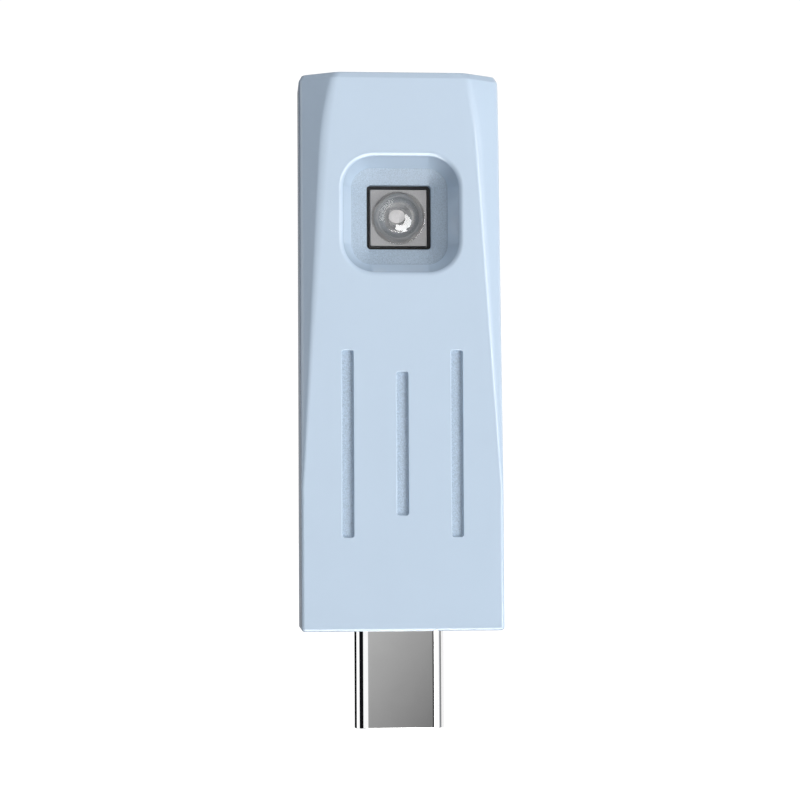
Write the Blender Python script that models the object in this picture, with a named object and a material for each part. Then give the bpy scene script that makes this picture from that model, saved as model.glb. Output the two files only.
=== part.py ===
"""Pocket LED lamp on a USB-C plug, modelled in metres with +Z up.

The light window looks along -Y and the plug points down. The origin is the middle of the
housing's flat lower end, on the plug's axis. Lengths below are millimetres, named by what
they drive, and every shape function turns them into metres once.
"""

import math

import bmesh
import bpy
from mathutils import Matrix, Vector

MM = 0.001
FIT = 0.05  # gap between pieces that touch

# Housing: outer size, and the shoulders that grow towards its upper end
BODY_WIDTH = 18.4
BODY_HEIGHT = 50.88
BODY_DEPTH = 9.0
HALF_WIDTH = BODY_WIDTH / 2
FRONT = -4.9
BACK = FRONT + BODY_DEPTH
WALL = 1.3
SIDE_DRAFT = 0.18
SHOULDER_START = 13.0
FOOT_DEPTHS = (0.1, 0.25)  # how far the shoulder's foot lies behind the front, low and high
WING_SLOPES = (0.9, 0.72)  # how far the wing falls back for each millimetre outwards, low and high
WING_ROUND = 0.42
SIDE_ROUNDS = (0.12, 0.42)
FOOT_CUT = 0.08
FLARE_START = 43.5
BROW = (8.87, 0.0751, 0.42)  # half width at the start, taper, flare at the upper end
FOOT = (9.12, 0.0531, 0.72)
TOP_EDGE = ((0.6, 0.0), (0.55, 0.018), (0.09, 0.27), (0.0, 0.42))  # below the top, in from the walls
BOTTOM_ROUND = 0.3
BACK_ROUND = 0.5

# Light window: a rounded square well with a square hole for the LED
WELL_HEIGHT = 37.85
WELL_HALF = 5.52
WELL_CORNER = 3.1
WELL_EDGE = 0.22
WELL_FLOOR_HALF = 4.4
WELL_FLOOR_CORNER = 2.1
WELL_FLOOR_DEPTH = 2.1
WELL_RIM_DEPTH = 2.7
HOLE_HALF = 2.96
HOLE_CORNER = 0.35
BLOCK_BACK = -0.9
BLOCK_FOOT = (6.75, 3.0)  # half width and corner of the well's block, at the front and back
BLOCK_END = (6.3, 2.6)

# Grip grooves on the front face
GROOVE_PITCH = 4.97
GROOVE_WIDTH = 1.2
GROOVE_DEPTH = 0.45
GROOVE_LENGTHS = (17.1, 13.15, 17.1)
GROOVE_MIDDLE = 16.95
GROOVE_CORNER = 0.28

# Room inside the housing, with ribs and a cradle that hold the main board and the plug
ROOM_LOW = 1.6
ROOM_TOP_WALL = 1.4
ROOM_CHAMFER = (5.2, 1.9)  # where the front corners are taken off: across, and behind the wall
RIB_HEIGHTS = (10.0, 23.5)
RIB_HALF = 0.5
RIB_INNER = 4.6
CRADLE_HALF = 3.0
CRADLE_GAP = 2.05
CRADLE_TOP = 4.2

# Back cover, set into the housing's rim
COVER_THICKNESS = 1.3
COVER_CORNER = 0.95
RIM = 0.8
LIP = 0.9
LIP_FRONT = 1.2
SNAP_HEIGHTS = (14.0, 38.0)
SNAP_REACH = (7.4, 8.05)
SNAP_HALF = 1.5
SNAP_GAP = 0.1

# LED stack, from the window backwards
LED_FRONT = FRONT + 3.12
LED_SIZE = 5.2
LED_THICKNESS = 0.9
LED_CUP_RADIUS = 2.05
LED_CUP_DEPTH = 0.45
GASKET_HALF = 4.1
GASKET_DEPTH = 0.45
LENS_RADIUS = 2.42
LENS_HEIGHT = 1.75
CHIP_SIZE = 1.5
BOARD_HALF = 6.7
BOARD_TAB = 8.4
LED_BOARD_THICKNESS = 1.0
PAD_THICKNESS = 0.4
SPREADER_THICKNESS = 1.2
SCREW_OFFSET = 5.15
SCREW_RADIUS = 0.8

# Main board and the parts soldered on it
MAIN_BOARD = 0.8
MAIN_BOARD_HALF_WIDTH = 6.4
MAIN_BOARD_LOW = 4.75
MAIN_BOARD_HIGH = 27.2
WIRE_RADIUS = 0.42

# USB-C plug
PLUG_WIDTH = 8.25
PLUG_THICKNESS = 2.4
PLUG_REACH = 9.0
PLUG_WALL = 0.2
PLUG_TOP = 4.0
TONGUE_ROOM = (6.75, 0.9, 5.3)
CONTACT_PITCH = 0.5
CONTACT_WIDTH = 0.22
CONTACT_THICKNESS = 0.12
LATCH_PIVOT = (3.5, -2.6)
LATCH_THICKNESS = 0.16
LATCH_WIDTH = 0.5

CORNER_STEPS = 4


def clear_scene():
    for item in list(bpy.data.objects):
        bpy.data.objects.remove(item)


def make_collection(name):
    group = bpy.data.collections.new(name)
    bpy.context.scene.collection.children.link(group)
    return group


def make_material(name, colour, roughness, metallic=0.0):
    material = bpy.data.materials.new(name)
    material.use_nodes = True
    shader = material.node_tree.nodes["Principled BSDF"]
    shader.inputs["Base Color"].default_value = (*colour, 1.0)
    shader.inputs["Roughness"].default_value = roughness
    shader.inputs["Metallic"].default_value = metallic
    return material


clear_scene()
LAMP = make_collection("usb_c_led_lamp")
CUTTERS = make_collection("cutters")


def add_object(name, mesh, place=(0.0, 0.0, 0.0), material=None):
    """Put a mesh in the lamp, or among the cutters where it has no material."""
    item = bpy.data.objects.new(name, mesh)
    item.location = Vector(place) * MM
    if material:
        LAMP.objects.link(item)
        mesh.materials.append(material)
    else:
        CUTTERS.objects.link(item)
        item.hide_render = True
        item.display_type = "WIRE"
    return item


def finish_mesh(shape, name):
    """Scale a bmesh from millimetres to metres and hand it over as a mesh."""
    bmesh.ops.recalc_face_normals(shape, faces=shape.faces)
    bmesh.ops.scale(shape, vec=(MM, MM, MM), verts=shape.verts)
    mesh = bpy.data.meshes.new(name)
    shape.to_mesh(mesh)
    shape.free()
    return mesh


def smooth(item, angle=30.0):
    item.data.shade_smooth()
    item.data.set_sharp_from_angle(angle=math.radians(angle))


def box(name, low, high, material=None, bevel=0.0, along=None, steps=2):
    """A box from its two corners; bevel rounds its edges, all or only those along one axis."""
    middle = (Vector(low) + Vector(high)) / 2
    size = Vector(high) - Vector(low)
    shape = bmesh.new()
    bmesh.ops.create_cube(shape, size=1.0, matrix=Matrix.Diagonal((*size, 1.0)))
    if bevel:
        edges = [
            edge
            for edge in shape.edges
            if along is None or abs((edge.verts[0].co - edge.verts[1].co)[along]) > 1e-6
        ]
        bmesh.ops.bevel(
            shape, geom=edges, offset=bevel, affect="EDGES", segments=steps, profile=0.5, material=-1
        )
    return add_object(name, finish_mesh(shape, name), middle, material)


def cylinder(name, radius, low, high, material=None, sides=24):
    """A round bar along Y from low to high, both points on its axis."""
    middle = (Vector(low) + Vector(high)) / 2
    length = (Vector(high) - Vector(low)).length
    shape = bmesh.new()
    bmesh.ops.create_cone(
        shape,
        cap_ends=True,
        segments=sides,
        radius1=radius,
        radius2=radius,
        depth=length,
        matrix=Matrix.Rotation(math.pi / 2, 4, "X"),
    )
    return add_object(name, finish_mesh(shape, name), middle, material)


def loft(name, rings, material=None):
    """Skin a closed solid over rings of points that all have the same count."""
    shape = bmesh.new()
    loops = [[shape.verts.new(point) for point in ring] for ring in rings]
    for lower, upper in zip(loops, loops[1:]):
        for here in range(len(lower)):
            after = (here + 1) % len(lower)
            shape.faces.new((lower[here], lower[after], upper[after], upper[here]))
    shape.faces.new(loops[0])
    shape.faces.new(loops[-1])
    return add_object(name, finish_mesh(shape, name), material=material)


def combine(target, tool, operation="DIFFERENCE"):
    step = target.modifiers.new(operation.lower() + "_" + tool.name, "BOOLEAN")
    step.operation = operation
    step.object = tool


def join(target, tool):
    combine(target, tool, "UNION")


def arc_corner(before, corner, after, cut_before, cut_after, steps=CORNER_STEPS):
    """Points of a round corner that starts and ends at the given distances from it."""
    start = corner + (before - corner).normalized() * cut_before
    end = corner + (after - corner).normalized() * cut_after
    turn = (corner - before).angle(after - corner)
    weight = math.cos(turn / 2)
    points = []
    for step in range(steps + 1):
        s = step / steps
        total = (1 - s) ** 2 + 2 * s * (1 - s) * weight + s**2
        point = start * (1 - s) ** 2 + corner * (2 * s * (1 - s) * weight) + end * s**2
        points.append(point / total)
    return points


def edge_half_width(edge, height):
    """Half the width between two shoulder edges, which draw in above the shoulders' start."""
    start, taper, flare = edge
    run = max(0.0, height - SHOULDER_START)
    flared = max(0.0, height - FLARE_START) / (BODY_HEIGHT - FLARE_START)
    return start - taper * run - flare * flared**2


def between(pair, share):
    """A value part of the way from the first of a pair to the second."""
    return pair[0] + (pair[1] - pair[0]) * share


def housing_half(height):
    """The right half of the housing's outline at a height, from its front to its back."""
    grown = max(0.0, height - SHOULDER_START) / (BODY_HEIGHT - SHOULDER_START)
    foot_depth = between(FOOT_DEPTHS, grown)
    brow_x = edge_half_width(BROW, height)
    foot_x = edge_half_width(FOOT, height)
    outer_depth = foot_depth + between(WING_SLOPES, grown**2) * (HALF_WIDTH - foot_x)
    front = Vector((0.0, FRONT))
    bend = Vector(((brow_x + foot_x) / 2, FRONT))
    foot = Vector((foot_x, FRONT + foot_depth))
    outer = Vector((HALF_WIDTH, FRONT + outer_depth))
    rear = Vector((HALF_WIDTH - SIDE_DRAFT, BACK))
    middle_back = Vector((0.0, BACK))
    wing = (outer - foot).length
    foot_cut = min(FOOT_CUT, 0.3 * wing)
    brow_cut = (foot_x - brow_x) / 2
    points = arc_corner(front, bend, foot, brow_cut, (foot - bend).length - foot_cut)
    points += arc_corner(bend, foot, outer, foot_cut * 0.8, foot_cut, 2)
    side_cut = between(SIDE_ROUNDS, grown)
    points += arc_corner(foot, outer, rear, min(WING_ROUND, 0.55 * wing), side_cut)
    points += arc_corner(outer, rear, middle_back, BACK_ROUND, BACK_ROUND, 3)
    return points


def housing_ring(height, inset=0.0):
    """The whole outline at a height, drawn in by the inset on every side."""
    right = housing_half(height)
    left = [Vector((-point.x, point.y)) for point in reversed(right)]
    across = 1 - inset / HALF_WIDTH
    deep = 1 - inset / (BODY_DEPTH / 2)
    middle = (FRONT + BACK) / 2
    return [
        Vector((point.x * across, middle + (point.y - middle) * deep, height))
        for point in right + left
    ]


def housing_blank():
    """The rings of the lamp's outer form: a rounded foot, and a bevel round the top."""
    rings = []
    for angle in (math.radians(degrees) for degrees in (0, 30, 60, 90)):
        height = BOTTOM_ROUND * (1 - math.cos(angle))
        rings.append(housing_ring(height, BOTTOM_ROUND * (1 - math.sin(angle))))
    heights = [SHOULDER_START, SHOULDER_START + 4, 28.0, FLARE_START]
    flare_steps = 5
    top_start = BODY_HEIGHT - TOP_EDGE[0][0]
    for step in range(1, flare_steps):
        heights.append(FLARE_START + (top_start - FLARE_START) * step / flare_steps)
    rings += [housing_ring(height) for height in heights]
    rings += [housing_ring(BODY_HEIGHT - below, inset) for below, inset in TOP_EDGE]
    return rings


def square_ring(half, corner, depth, steps=5):
    """A rounded square around the light window's axis, at a depth along Y."""
    points = []
    for quadrant in range(4):
        for step in range(steps + 1):
            angle = math.radians(90) * (quadrant + step / steps)
            sign_x = 1 if quadrant in (0, 3) else -1
            sign_z = 1 if quadrant in (0, 1) else -1
            x = sign_x * (half - corner) + corner * math.cos(angle)
            z = sign_z * (half - corner) + corner * math.sin(angle)
            points.append(Vector((x, depth, WELL_HEIGHT + z)))
    return points


def well_cutter():
    edge_half = WELL_HALF + WELL_EDGE
    edge_corner = WELL_CORNER + WELL_EDGE
    rings = [
        square_ring(edge_half, edge_corner, FRONT - 1.0),
        square_ring(edge_half, edge_corner, FRONT),
        square_ring(WELL_HALF, WELL_CORNER, FRONT + WELL_EDGE),
        square_ring(WELL_FLOOR_HALF, WELL_FLOOR_CORNER, FRONT + WELL_FLOOR_DEPTH),
        square_ring(HOLE_HALF, HOLE_CORNER, FRONT + WELL_RIM_DEPTH),
        square_ring(HOLE_HALF, HOLE_CORNER, BLOCK_BACK + 0.5),
    ]
    return loft("cut_well", rings)


def cavity_cutter():
    """The room inside the housing: a chamfered box less the well's block and the ribs."""
    side = HALF_WIDTH - WALL
    inner_front = FRONT + WALL
    inner_back = BACK - COVER_THICKNESS + 0.4
    chamfer_x, chamfer_depth = ROOM_CHAMFER
    half = [(chamfer_x, inner_front), (side, inner_front + chamfer_depth), (side, inner_back)]
    outline = half + [(-x, y) for x, y in reversed(half)]
    ends = (ROOM_LOW, BODY_HEIGHT - ROOM_TOP_WALL)
    rings = [[Vector((x, y, height)) for x, y in outline] for height in ends]
    room = loft("cut_cavity", rings)
    block_rings = [square_ring(*BLOCK_FOOT, FRONT + 0.6), square_ring(*BLOCK_END, BLOCK_BACK)]
    combine(room, loft("well_block", block_rings))
    for number, height in enumerate(RIB_HEIGHTS):
        for sign in (-1, 1):
            reach = sorted((sign * RIB_INNER, sign * (side + 0.5)))
            rib = box(
                f"front_rib_{number}_{sign + 2}",
                (reach[0], inner_front - 0.4, height - RIB_HALF),
                (reach[1], -MAIN_BOARD / 2 - FIT, height + RIB_HALF),
            )
            combine(room, rib)
    cradle = box(
        "front_cradle",
        (-CRADLE_HALF, inner_front - 0.4, ROOM_LOW - 0.4),
        (CRADLE_HALF, -CRADLE_GAP, CRADLE_TOP),
    )
    combine(room, cradle)
    return room


def cover_pocket():
    side = HALF_WIDTH - RIM + FIT
    return box(
        "cut_cover_pocket",
        (-side, BACK - COVER_THICKNESS - FIT, RIM - FIT),
        (side, BACK + 1.0, BODY_HEIGHT - RIM + FIT),
        bevel=COVER_CORNER + FIT,
        along=1,
    )


def groove_cutter(number, length):
    x = (number - 1) * GROOVE_PITCH
    return box(
        f"cut_groove_{number}",
        (x - GROOVE_WIDTH / 2, FRONT - 1.0, GROOVE_MIDDLE - length / 2),
        (x + GROOVE_WIDTH / 2, FRONT + GROOVE_DEPTH, GROOVE_MIDDLE + length / 2),
        bevel=GROOVE_CORNER,
        along=1,
    )


def obround_ring(width, thickness, height, steps=6):
    """A flat oval outline with half-round ends, level at a height."""
    radius = thickness / 2
    centre = width / 2 - radius
    points = []
    for side in (1, -1):
        for step in range(steps + 1):
            angle = math.radians(-90 + 180 * step / steps)
            x = side * (centre + radius * math.cos(angle))
            y = side * radius * math.sin(angle)
            points.append(Vector((x, y, height)))
    return points


def obround(name, width, thickness, low, high, material=None):
    rings = [obround_ring(width, thickness, height) for height in (low, high)]
    return loft(name, rings, material)


def screw_places():
    """The two LED board screws, on one diagonal of the well."""
    for sign in (-1, 1):
        yield sign, sign * SCREW_OFFSET, WELL_HEIGHT - sign * SCREW_OFFSET


def make_housing(plastic):
    housing = loft("housing", housing_blank(), plastic)
    combine(housing, cavity_cutter())
    combine(housing, cover_pocket())
    combine(housing, well_cutter())
    for number, length in enumerate(GROOVE_LENGTHS):
        combine(housing, groove_cutter(number, length))
    plug_hole = obround("cut_plug_hole", PLUG_WIDTH + 2 * FIT, PLUG_THICKNESS + 2 * FIT, -1.0, 2.5)
    combine(housing, plug_hole)
    gasket_half = GASKET_HALF + 2 * FIT
    gasket_room = box(
        "cut_gasket_room",
        (-gasket_half, BLOCK_BACK - GASKET_DEPTH - FIT, WELL_HEIGHT - gasket_half),
        (gasket_half, BLOCK_BACK + 0.5, WELL_HEIGHT + gasket_half),
    )
    combine(housing, gasket_room)
    for sign, x, z in screw_places():
        hole = cylinder(
            f"cut_screw_{sign + 2}", SCREW_RADIUS + FIT, (x, BLOCK_BACK - 1.9, z), (x, 0.5, z)
        )
        combine(housing, hole)
    for number, (height, sign) in enumerate((h, s) for h in SNAP_HEIGHTS for s in (-1, 1)):
        reach = sorted(sign * (across + SNAP_GAP) for across in SNAP_REACH)
        window = box(
            f"cut_snap_{number}",
            (reach[0], LIP_FRONT + SNAP_GAP, height - SNAP_HALF - SNAP_GAP),
            (reach[1], LIP_FRONT + 0.7 + SNAP_GAP, height + SNAP_HALF + SNAP_GAP),
        )
        combine(housing, window)
    smooth(housing)


def make_back_cover(plastic):
    side = HALF_WIDTH - RIM
    cover = box(
        "back_cover",
        (-side, BACK - COVER_THICKNESS, RIM),
        (side, BACK, BODY_HEIGHT - RIM),
        plastic,
        bevel=COVER_CORNER,
        along=1,
    )
    lip_side = HALF_WIDTH - WALL - FIT
    lip_low = PLUG_TOP + 0.4
    lip_high = BODY_HEIGHT - 1.5
    root = BACK - COVER_THICKNESS + 0.3
    lip = box("lip_block", (-lip_side, LIP_FRONT, lip_low), (lip_side, root, lip_high))
    lip_room = box(
        "lip_room",
        (-lip_side + LIP, LIP_FRONT - 1.0, lip_low + LIP),
        (lip_side - LIP, BACK - COVER_THICKNESS, lip_high - LIP),
    )
    combine(lip, lip_room)
    join(cover, lip)
    for number, height in enumerate(RIB_HEIGHTS):
        rib = box(
            f"back_rib_{number}",
            (-6.0, MAIN_BOARD / 2 + FIT, height - RIB_HALF),
            (6.0, root, height + RIB_HALF),
        )
        join(cover, rib)
    cradle = box(
        "back_cradle", (-CRADLE_HALF, CRADLE_GAP, ROOM_LOW + 0.2), (CRADLE_HALF, root, CRADLE_TOP)
    )
    join(cover, cradle)
    for number, (height, sign) in enumerate((h, s) for h in SNAP_HEIGHTS for s in (-1, 1)):
        reach = sorted(sign * across for across in SNAP_REACH)
        hook = box(
            f"snap_hook_{number}",
            (reach[0], LIP_FRONT + 2 * SNAP_GAP, height - SNAP_HALF),
            (reach[1], LIP_FRONT + 0.7, height + SNAP_HALF),
        )
        join(cover, hook)
    smooth(cover)


def make_led(ceramic, silicone_clear, emitter, black, white_board, grey_pad, aluminium):
    """The LED, its gasket and the board, pad and heat spreader behind it."""
    half = LED_SIZE / 2
    back = LED_FRONT + LED_THICKNESS
    package = box(
        "led_package",
        (-half, LED_FRONT, WELL_HEIGHT - half),
        (half, back, WELL_HEIGHT + half),
        ceramic,
        bevel=0.08,
        along=1,
        steps=1,
    )
    cup = cylinder(
        "cut_led_cup",
        LED_CUP_RADIUS,
        (0, LED_FRONT - 0.5, WELL_HEIGHT),
        (0, LED_FRONT + LED_CUP_DEPTH, WELL_HEIGHT),
        sides=32,
    )
    combine(package, cup)
    chip_back = LED_FRONT + LED_CUP_DEPTH - 0.02
    chip_half = CHIP_SIZE / 2
    box(
        "led_chip",
        (-chip_half, chip_back - 0.25, WELL_HEIGHT - chip_half),
        (chip_half, chip_back, WELL_HEIGHT + chip_half),
        emitter,
    )
    make_lens(silicone_clear)
    gasket = box(
        "light_gasket",
        (-GASKET_HALF, BLOCK_BACK - GASKET_DEPTH, WELL_HEIGHT - GASKET_HALF),
        (GASKET_HALF, back - FIT, WELL_HEIGHT + GASKET_HALF),
        black,
    )
    gasket_hole = box(
        "cut_gasket_hole",
        (-half - 0.08, FRONT, WELL_HEIGHT - half - 0.08),
        (half + 0.08, 1.0, WELL_HEIGHT + half + 0.08),
    )
    combine(gasket, gasket_hole)
    front = back + FIT
    stack = (
        ("led_board", LED_BOARD_THICKNESS, WELL_HEIGHT - BOARD_TAB, white_board),
        ("thermal_pad", PAD_THICKNESS, WELL_HEIGHT - BOARD_HALF, grey_pad),
        ("heat_spreader", SPREADER_THICKNESS, WELL_HEIGHT - BOARD_HALF, aluminium),
    )
    for name, thickness, low, material in stack:
        plate = box(
            name,
            (-BOARD_HALF, front, low),
            (BOARD_HALF, front + thickness, WELL_HEIGHT + BOARD_HALF),
            material,
            bevel=0.6,
            along=1,
        )
        for sign, x, z in screw_places():
            hole = cylinder(
                f"cut_{name}_{sign + 2}", SCREW_RADIUS + 0.1, (x, front - 1, z), (x, front + 3, z)
            )
            combine(plate, hole)
        front += thickness + FIT
    return front


def make_lens(material):
    """A clear dome: a turned profile, spun on its own axis and laid along -Y."""
    sag_radius = (LENS_RADIUS**2 + LENS_HEIGHT**2) / (2 * LENS_HEIGHT)
    sweep = math.asin(LENS_RADIUS / sag_radius)
    steps = 9
    skirt = 0.12
    profile = []
    for step in range(steps + 1):
        angle = sweep * step / steps
        x = sag_radius * math.sin(angle)
        z = skirt + LENS_HEIGHT - sag_radius * (1 - math.cos(angle))
        profile.append(Vector((x, 0.0, z)))
    profile.append(Vector((LENS_RADIUS, 0.0, 0.0)))
    profile.append(Vector((0.0, 0.0, 0.0)))
    shape = bmesh.new()
    points = [shape.verts.new(point) for point in profile]
    edges = [shape.edges.new(pair) for pair in zip(points, points[1:])]
    bmesh.ops.spin(
        shape,
        geom=points + edges,
        cent=(0, 0, 0),
        axis=(0, 0, 1),
        angle=2 * math.pi,
        steps=32,
        use_merge=True,
    )
    bmesh.ops.remove_doubles(shape, verts=shape.verts, dist=1e-5)
    lens = add_object(
        "led_lens", finish_mesh(shape, "led_lens"), (0, LED_FRONT - FIT, WELL_HEIGHT), material
    )
    lens.rotation_euler = (math.pi / 2, 0, 0)
    smooth(lens, 40)


def make_screws(stack_back, steel):
    """Self-tapping screws that hold the LED board and the spreader to the well."""
    for sign, x, z in screw_places():
        head = cylinder(
            f"board_screw_{(sign + 3) // 2}",
            1.35,
            (x, stack_back, z),
            (x, stack_back + 0.7, z),
            steel,
        )
        shank = cylinder(
            f"screw_shank_{sign + 2}",
            SCREW_RADIUS - 0.05,
            (x, BLOCK_BACK - 1.8, z),
            (x, stack_back + 0.3, z),
            sides=16,
        )
        join(head, shank)
        slots = (
            ((-0.75, -0.16), (0.75, 0.16)),
            ((-0.16, -0.75), (0.16, 0.75)),
        )
        for number, (low, high) in enumerate(slots):
            slot = box(
                f"cut_drive_{sign + 2}_{number}",
                (x + low[0], stack_back + 0.4, z + low[1]),
                (x + high[0], stack_back + 1.5, z + high[1]),
            )
            combine(head, slot)
        smooth(head)


def make_main_board(green):
    box(
        "main_board",
        (-MAIN_BOARD_HALF_WIDTH, -MAIN_BOARD / 2, MAIN_BOARD_LOW),
        (MAIN_BOARD_HALF_WIDTH, MAIN_BOARD / 2, MAIN_BOARD_HIGH),
        green,
        bevel=0.5,
        along=1,
    )


def place_component(name, x, z, size, material, face=-1, bevel=0.0):
    """Set a part on the main board's front (face -1) or back (face 1)."""
    near = face * (MAIN_BOARD / 2 + FIT)
    far = near + face * size[1]
    return box(
        name,
        (x - size[0] / 2, min(near, far), z - size[2] / 2),
        (x + size[0] / 2, max(near, far), z + size[2] / 2),
        material,
        bevel=bevel,
        steps=1,
    )


def make_driver_chip(plastic):
    """An eight-lead driver in a small outline package."""
    x, z = 0.0, 13.6
    width, height, tall = 3.9, 1.5, 4.9
    chip = place_component("driver_chip", x, z, (width, height, tall), plastic, bevel=0.12)
    front = -(MAIN_BOARD / 2 + FIT)
    pitch = 1.27
    for number in range(8):
        side = -1 if number < 4 else 1
        lead_z = z + (number % 4 - 1.5) * pitch
        inner = x + side * (width / 2 - 0.3)
        knee = x + side * (width / 2 + 0.45)
        toe = x + side * (width / 2 + 1.0)
        arm = box(
            f"lead_arm_{number}",
            (min(inner, knee), front - 0.85, lead_z - 0.2),
            (max(inner, knee), front - 0.67, lead_z + 0.2),
        )
        leg_low = knee - side * 0.18
        leg = box(
            f"lead_leg_{number}",
            (min(leg_low, knee), front - 0.85, lead_z - 0.2),
            (max(leg_low, knee), front, lead_z + 0.2),
        )
        foot = box(
            f"lead_foot_{number}",
            (min(leg_low, toe), front - 0.18, lead_z - 0.2),
            (max(leg_low, toe), front, lead_z + 0.2),
        )
        for piece in (arm, leg, foot):
            join(chip, piece)


def make_components(black, ferrite, ceramic_tan, resistor):
    make_driver_chip(black)
    place_component("power_inductor", 0.0, 20.2, (5.0, 2.4, 5.0), ferrite, bevel=0.5)
    place_component("input_capacitor", -4.4, 7.6, (1.6, 1.2, 3.2), ceramic_tan, bevel=0.12)
    place_component("output_capacitor", 4.5, 18.6, (1.6, 1.2, 3.2), ceramic_tan, bevel=0.12)
    place_component("current_sense_resistor", -4.5, 18.6, (1.6, 0.6, 3.2), resistor, bevel=0.06)
    place_component("rectifier_diode", 0.0, 13.6, (2.6, 2.1, 4.3), black, face=1, bevel=0.2)
    for number, x in enumerate((-1.2, 1.2), start=1):
        place_component(f"cc_resistor_{number}", x, 8.4, (0.8, 0.45, 1.6), resistor, 1, 0.05)


def make_wire(name, x, material):
    """One insulated lead from the main board up to a pad on the LED board."""
    low_y = -MAIN_BOARD / 2 - WIRE_RADIUS - 0.08
    high_y = LED_FRONT + LED_THICKNESS - WIRE_RADIUS - 0.08
    route = (
        (x, low_y, 25.2),
        (x, low_y, 26.2),
        (x * 1.08, low_y - 0.25, 27.4),
        (x * 1.1, high_y - 0.2, 28.6),
        (x, high_y, 29.7),
        (x, high_y, 30.7),
    )
    curve = bpy.data.curves.new(name, "CURVE")
    curve.dimensions = "3D"
    curve.bevel_depth = WIRE_RADIUS * MM
    curve.bevel_resolution = 2
    curve.use_fill_caps = True
    line = curve.splines.new("POLY")
    line.points.add(len(route) - 1)
    for point, place in zip(line.points, route):
        point.co = (*(Vector(place) * MM), 1.0)
    curve.materials.append(material)
    wire = bpy.data.objects.new(name, curve)
    LAMP.objects.link(wire)


def strip(name, path, thickness, width, across, place, material):
    """Sheet metal bent along a path in the X-Z or Y-Z plane; across is its width's axis."""
    outer = []
    inner = []
    for number, point in enumerate(path):
        before = path[max(0, number - 1)]
        after = path[min(len(path) - 1, number + 1)]
        run = Vector((after[0] - before[0], after[1] - before[1])).normalized()
        side = Vector((-run.y, run.x)) * thickness / 2
        outer.append(Vector(point) + side)
        inner.append(Vector(point) - side)
    outline = outer + list(reversed(inner))
    rings = []
    for shift in (-width / 2, width / 2):
        if across == "X":
            rings.append([Vector((shift, point.x, point.y)) for point in outline])
        else:
            rings.append([Vector((point.x, shift, point.y)) for point in outline])
    item = loft(name, rings, material)
    item.location = Vector(place) * MM
    return item


def contact_names():
    """The power and ground contacts of a charge-only plug, with row and position."""
    roles = {1: "ground", 4: "power", 5: "sense", 9: "power", 12: "ground"}
    for position, role in roles.items():
        yield f"contact_a{position}_{role}", -1, position
    for position, role in roles.items():
        if position != 5:
            yield f"contact_b{position}_{role}", 1, position


def contact_x(row, position):
    return -row * (position - 6.5) * CONTACT_PITCH


def make_contacts(gold, insulator):
    """Spring contacts in two facing rows, each in its own slot of the insulator."""
    for name, row, position in contact_names():
        x = contact_x(row, position)
        half_path = (
            (0.50, -8.35),
            (0.36, -7.75),
            (0.36, -7.35),
            (0.62, -5.6),
            (0.62, 2.0),
            (0.62, 4.5),
            (0.52, 5.2),
            (0.52, 6.3),
        )
        path = [(row * y, z) for y, z in half_path]
        strip(name, path, CONTACT_THICKNESS, CONTACT_WIDTH, "X", (x, 0, 0), gold)
        slot = sorted((row * 0.20, row * 0.80))
        slot_low = -PLUG_REACH + 0.35
        combine(
            insulator,
            box(f"cut_{name}", (x - 0.16, slot[0], slot_low), (x + 0.16, slot[1], PLUG_TOP + 1.0)),
        )


def make_plug(nickel, black, steel, gold):
    """Shell, insulator, contacts, ground plate, side latches and rear block."""
    tip = -PLUG_REACH
    shell = obround("plug_shell", PLUG_WIDTH, PLUG_THICKNESS, tip, PLUG_TOP, nickel)
    bore_width = PLUG_WIDTH - 2 * PLUG_WALL
    bore_thickness = PLUG_THICKNESS - 2 * PLUG_WALL
    combine(shell, obround("cut_shell_bore", bore_width, bore_thickness, tip - 1, PLUG_TOP + 1))
    smooth(shell)
    core = obround(
        "plug_insulator", bore_width - 2 * FIT, bore_thickness - 2 * FIT, tip + 0.15, PLUG_TOP, black
    )
    room_width, room_thickness, room_depth = TONGUE_ROOM
    tongue_room = box(
        "cut_tongue_room",
        (-room_width / 2, -room_thickness / 2, tip - 1),
        (room_width / 2, room_thickness / 2, tip + room_depth),
    )
    combine(core, tongue_room)
    plate_low = tip + room_depth + 0.3
    plate_half = LATCH_PIVOT[0] - LATCH_THICKNESS / 2 - 1.2 * FIT
    plate_room = box(
        "cut_plate_room",
        (-plate_half - FIT, -0.11, plate_low - 0.5),
        (plate_half + FIT, 0.11, PLUG_TOP + 1),
    )
    combine(core, plate_room)
    box("ground_plate", (-plate_half, -0.06, plate_low), (plate_half, 0.06, PLUG_TOP + 0.6), steel)
    make_contacts(gold, core)
    for sign, side in ((-1, "left"), (1, "right")):
        reach = sorted((sign * 3.3, sign * 4.2))
        channel = box(
            f"cut_latch_channel_{side}", (reach[0], -0.33, tip - 1), (reach[1], 0.33, -2.1)
        )
        combine(core, channel)
        make_latch(side, sign, steel)
    rear = box("plug_rear_block", (-5.2, -1.95, 1.7), (5.2, 1.95, 3.9), black, bevel=0.25)
    rear_hole = obround(
        "cut_rear_block", PLUG_WIDTH + 2 * FIT, PLUG_THICKNESS + 2 * FIT, 0.5, PLUG_TOP + 1
    )
    combine(rear, rear_hole)


def make_latch(side, sign, steel):
    """A side latch: a sprung arm whose hooked tip catches the socket's tongue."""
    pivot_x, pivot_z = LATCH_PIVOT
    path = (
        (0.0, 0.12),
        (0.0, -3.6),
        (-0.02, -4.1),
        (-0.22, -4.7),
        (-0.22, -5.0),
        (0.06, -5.7),
    )
    turned = [(sign * x, z) for x, z in path]
    place = (sign * pivot_x, 0, pivot_z)
    strip(f"latch_{side}", turned, LATCH_THICKNESS, LATCH_WIDTH, "Y", place, steel)


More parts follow.
